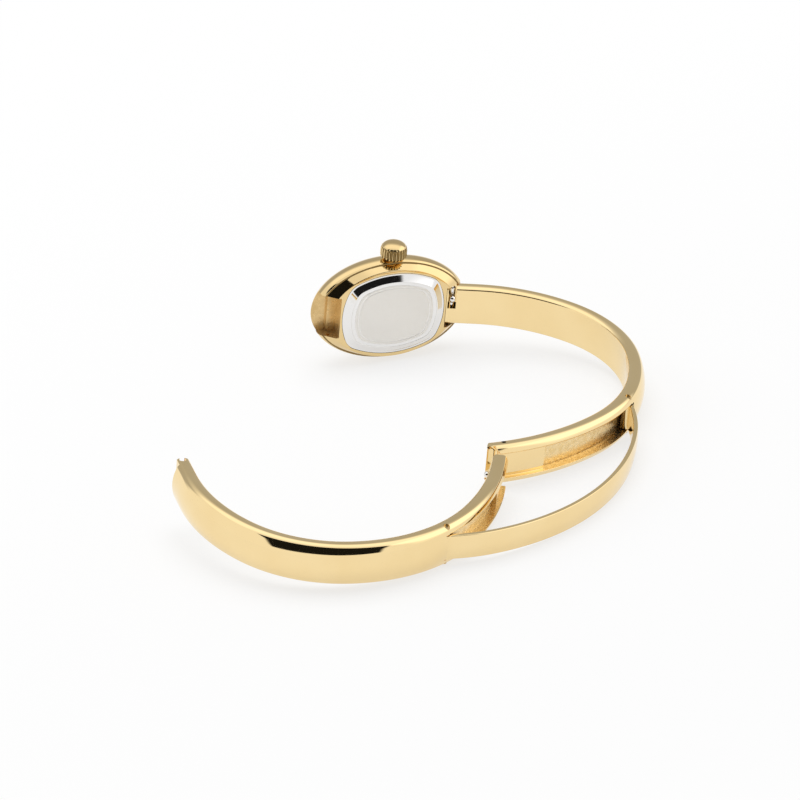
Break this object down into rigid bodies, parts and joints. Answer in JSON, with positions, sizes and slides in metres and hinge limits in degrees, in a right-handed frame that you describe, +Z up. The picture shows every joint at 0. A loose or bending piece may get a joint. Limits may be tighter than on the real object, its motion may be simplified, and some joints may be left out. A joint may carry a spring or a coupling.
{
  "type": "bangle watch",
  "caption": "Opened bangle watch: oval case, crown, two rigid half-ring arms joined by a folding link that beds in their outer channels, quick-release bar.",
  "frame": {"origin": "centre of the bounding box's base, on the table the opened watch lies on", "axes": "+Z up from the table, +Y away from the picture's camera (the case lies at +Y, the left arm at -Y), +X to the picture's right"},
  "size_m": [0.0748, 0.0918, 0.0219],
  "materials": {
    "gold": "gold plated, high polish",
    "steel": "polished",
    "spring_steel": "drawn wire",
    "crystal_glass": "polished",
    "dial_lacquer": "cream lacquer",
    "seal_rubber": "matt",
    "movement_brass": "satin",
    "movement_plastic": "matt",
    "magnet": "ground"
  },
  "bodies": {
    "case": {"mid_case": "gold", "caseback": "steel", "caseback_gasket": "seal_rubber", "crystal": "crystal_glass", "crystal_gasket": "seal_rubber", "dial": "dial_lacquer", "hour_markers": "gold", "movement_holder": "movement_plastic", "movement_plate": "movement_brass", "battery": "steel", "battery_clamp": "steel", "movement_screws": "steel", "stator": "steel", "coil": "movement_brass", "coil_core": "steel", "circuit_board": "movement_plastic", "quartz_can": "steel", "chip": "movement_plastic", "crown_tube": "steel"},
    "crown_slider": {"crown_gasket": "seal_rubber"},
    "crown_turner": {"crown": "gold", "stem": "steel"},
    "minute_train": {"centre_wheel": "steel", "cannon_pinion": "steel", "minute_hand": "gold"},
    "hour_train": {"hour_wheel": "movement_brass", "hour_hand": "gold"},
    "minute_wheel": {"minute_wheel": "steel"},
    "third_wheel": {"third_wheel": "movement_brass"},
    "relay_wheel": {"relay_wheel": "movement_brass"},
    "rotor": {"rotor": "magnet"},
    "right_arm": {"right_arm": "gold", "right_hinge_pin": "gold", "bar_tube": "steel", "bar_fixed_pin": "steel", "bar_spring": "spring_steel"},
    "bar_slider": {"bar_slider": "steel"},
    "link": {"folding_link": "gold"},
    "left_arm": {"left_arm": "gold", "left_hinge_pin": "gold", "latch_plug": "steel", "latch_spring": "spring_steel"},
    "latch_bolt": {"latch_bolt": "steel"}
  },
  "joints": [
    {"name": "right_arm_pivot", "type": "hinge", "parent": "case", "child": "right_arm", "pos_m": [0.00453, 0.04194, 0.00853], "axis": [0.0991, -0.061, 0.9932], "range_deg": [0, 12]},
    {"name": "link_fold", "type": "hinge", "parent": "right_arm", "child": "link", "pos_m": [0.03446, 0.00998, 0.00359], "axis": [0.0991, -0.061, 0.9932], "range_deg": [-36, 0]},
    {"name": "left_arm_fold", "type": "hinge", "parent": "link", "child": "left_arm", "pos_m": [0.00645, -0.03568, 0.00358], "axis": [0.0991, -0.061, 0.9932], "range_deg": [-36, 0]},
    {"name": "bar_knob_slide", "type": "slide", "parent": "right_arm", "child": "bar_slider", "axis": [0.0991, -0.061, 0.9932], "range_m": [-0.0009, 0]},
    {"name": "latch_bolt_slide", "type": "slide", "parent": "left_arm", "child": "latch_bolt", "axis": [0.0991, -0.061, 0.9932], "range_m": [-0.0009, 0]},
    {"name": "crown_pull", "type": "slide", "parent": "case", "child": "crown_slider", "axis": [0.0991, -0.061, 0.9932], "range_m": [0, 0.0009]},
    {"name": "crown_turn", "type": "hinge", "parent": "crown_slider", "child": "crown_turner", "pos_m": [-0.00493, 0.0381, 0.0183], "axis": [0.0991, -0.061, 0.9932], "continuous": true},
    {"name": "minute_turn", "type": "hinge", "parent": "case", "child": "minute_train", "pos_m": [-0.00582, 0.03864, 0.00936], "axis": [-0.3598, 0.9284, 0.0929], "continuous": true},
    {"name": "hour_turn", "type": "hinge", "parent": "case", "child": "hour_train", "pos_m": [-0.00582, 0.03864, 0.00936], "axis": [-0.3598, 0.9284, 0.0929], "continuous": true},
    {"name": "minute_wheel_turn", "type": "hinge", "parent": "case", "child": "minute_wheel", "pos_m": [-0.00651, 0.03821, 0.011], "axis": [-0.3598, 0.9284, 0.0929], "continuous": true},
    {"name": "third_wheel_turn", "type": "hinge", "parent": "case", "child": "third_wheel", "pos_m": [-0.00429, 0.03912, 0.01052], "axis": [-0.3598, 0.9284, 0.0929], "continuous": true},
    {"name": "relay_wheel_turn", "type": "hinge", "parent": "case", "child": "relay_wheel", "pos_m": [-0.00263, 0.03985, 0.00972], "axis": [-0.3598, 0.9284, 0.0929], "continuous": true},
    {"name": "rotor_turn", "type": "hinge", "parent": "case", "child": "rotor", "pos_m": [-0.00279, 0.03995, 0.0081], "axis": [-0.3598, 0.9284, 0.0929], "continuous": true}
  ],
  "couplings": [
    {"joint": "left_arm_fold", "follows": "link_fold", "ratio": 1},
    {"joint": "hour_turn", "follows": "minute_turn", "ratio": 0.083333},
    {"joint": "minute_wheel_turn", "follows": "minute_turn", "ratio": -0.33333},
    {"joint": "third_wheel_turn", "follows": "minute_turn", "ratio": -4},
    {"joint": "relay_wheel_turn", "follows": "minute_turn", "ratio": 16},
    {"joint": "rotor_turn", "follows": "minute_turn", "ratio": -64}
  ]
}
